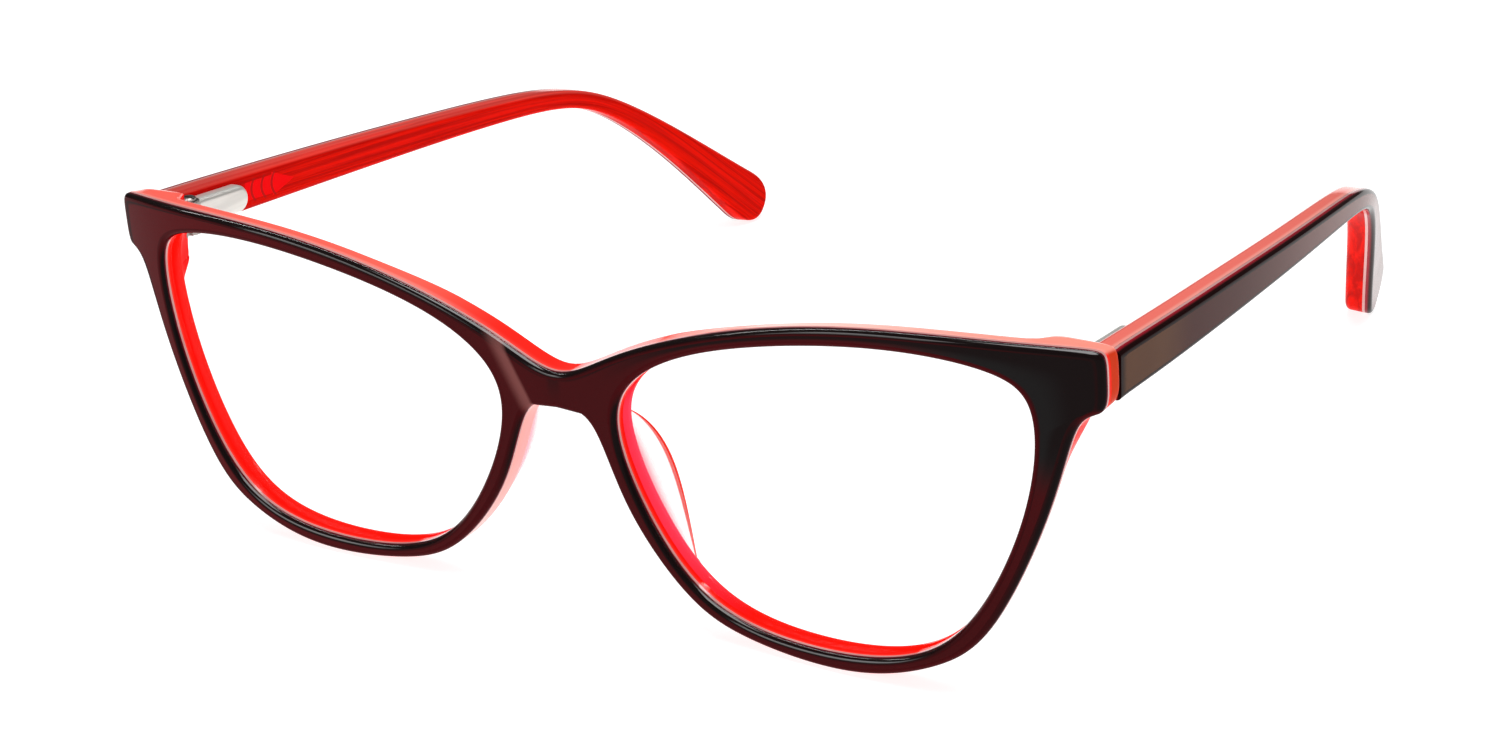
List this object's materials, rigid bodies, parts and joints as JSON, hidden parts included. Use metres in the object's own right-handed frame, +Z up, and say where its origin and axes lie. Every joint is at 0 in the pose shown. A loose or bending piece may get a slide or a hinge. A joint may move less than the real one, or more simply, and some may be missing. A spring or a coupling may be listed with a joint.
{
  "type": "eyeglasses",
  "caption": "Cat-eye spectacles in laminated acetate: clear lenses in full rims, nose pads, sprung folding temples that also flex outwards.",
  "frame": {"origin": "centre of the bounding box at the level the rims and temple tips stand on", "axes": "+Z up; the front faces -Y and the open temples run to +Y; +X is the wearer's left; X = 0 is the mirror plane of the front"},
  "size_m": [0.1382, 0.1326, 0.0432],
  "materials": {
    "dark_acetate": "very dark burgundy polished acetate, faintly translucent",
    "pale_acetate": "thin pale pink acetate sheet, polished at its edge",
    "red_acetate": "bright red translucent polished acetate",
    "clear_lens": "clear lens plastic, no tint",
    "clear_pad": "clear polished acetate",
    "silver_metal": "pale silver, satin",
    "core_metal": "drawn wire"
  },
  "bodies": {
    "front": {"front_outer_layer": "dark_acetate", "front_middle_layer": "pale_acetate", "front_back_layer": "red_acetate", "lens_L": "clear_lens", "lens_R": "clear_lens", "nose_pad_L": "clear_pad", "nose_pad_R": "clear_pad", "front_hinge_plate_L": "silver_metal", "front_hinge_plate_R": "silver_metal"},
    "screw_L": {"hinge_screw_L": "silver_metal"},
    "slider_L": {"hinge_slider_L": "silver_metal", "rod_stop_L": "silver_metal"},
    "temple_L": {"temple_outer_layer_L": "dark_acetate", "temple_middle_layer_L": "pale_acetate", "temple_inner_layer_L": "red_acetate", "temple_core_wire_L": "core_metal", "spring_housing_L": "silver_metal", "hinge_spring_L": "silver_metal"},
    "screw_R": {"hinge_screw_R": "silver_metal"},
    "slider_R": {"hinge_slider_R": "silver_metal", "rod_stop_R": "silver_metal"},
    "temple_R": {"temple_outer_layer_R": "dark_acetate", "temple_middle_layer_R": "pale_acetate", "temple_inner_layer_R": "red_acetate", "temple_core_wire_R": "core_metal", "spring_housing_R": "silver_metal", "hinge_spring_R": "silver_metal"}
  },
  "joints": [
    {"name": "fold_L", "type": "hinge", "parent": "front", "child": "screw_L", "pos_m": [0.0632, -0.0562, 0.03825], "axis": [0, 0, 1], "range_deg": [0, 86]},
    {"name": "flex_L", "type": "hinge", "parent": "screw_L", "child": "slider_L", "pos_m": [0.0632, -0.0562, 0.03825], "axis": [0, 0, -1], "range_deg": [0, 8], "stiffness_Nm_per_rad": 0.3, "springref_deg": -6.88},
    {"name": "slide_L", "type": "slide", "parent": "slider_L", "child": "temple_L", "axis": [0, 0.996, -0.0889], "range_m": [0, 0.0009], "deforming": ["hinge_spring_L"]},
    {"name": "fold_R", "type": "hinge", "parent": "front", "child": "screw_R", "pos_m": [-0.0632, -0.0562, 0.03825], "axis": [0, 0, -1], "range_deg": [0, 68]},
    {"name": "flex_R", "type": "hinge", "parent": "screw_R", "child": "slider_R", "pos_m": [-0.0632, -0.0562, 0.03825], "axis": [0, 0, 1], "range_deg": [0, 8], "stiffness_Nm_per_rad": 0.3, "springref_deg": -6.88},
    {"name": "slide_R", "type": "slide", "parent": "slider_R", "child": "temple_R", "axis": [0, 0.996, -0.0889], "range_m": [0, 0.0009], "deforming": ["hinge_spring_R"]}
  ],
  "couplings": [
    {"joint": "slide_L", "follows": "flex_L", "m_per_rad": 0.006},
    {"joint": "slide_R", "follows": "flex_R", "m_per_rad": 0.006}
  ]
}
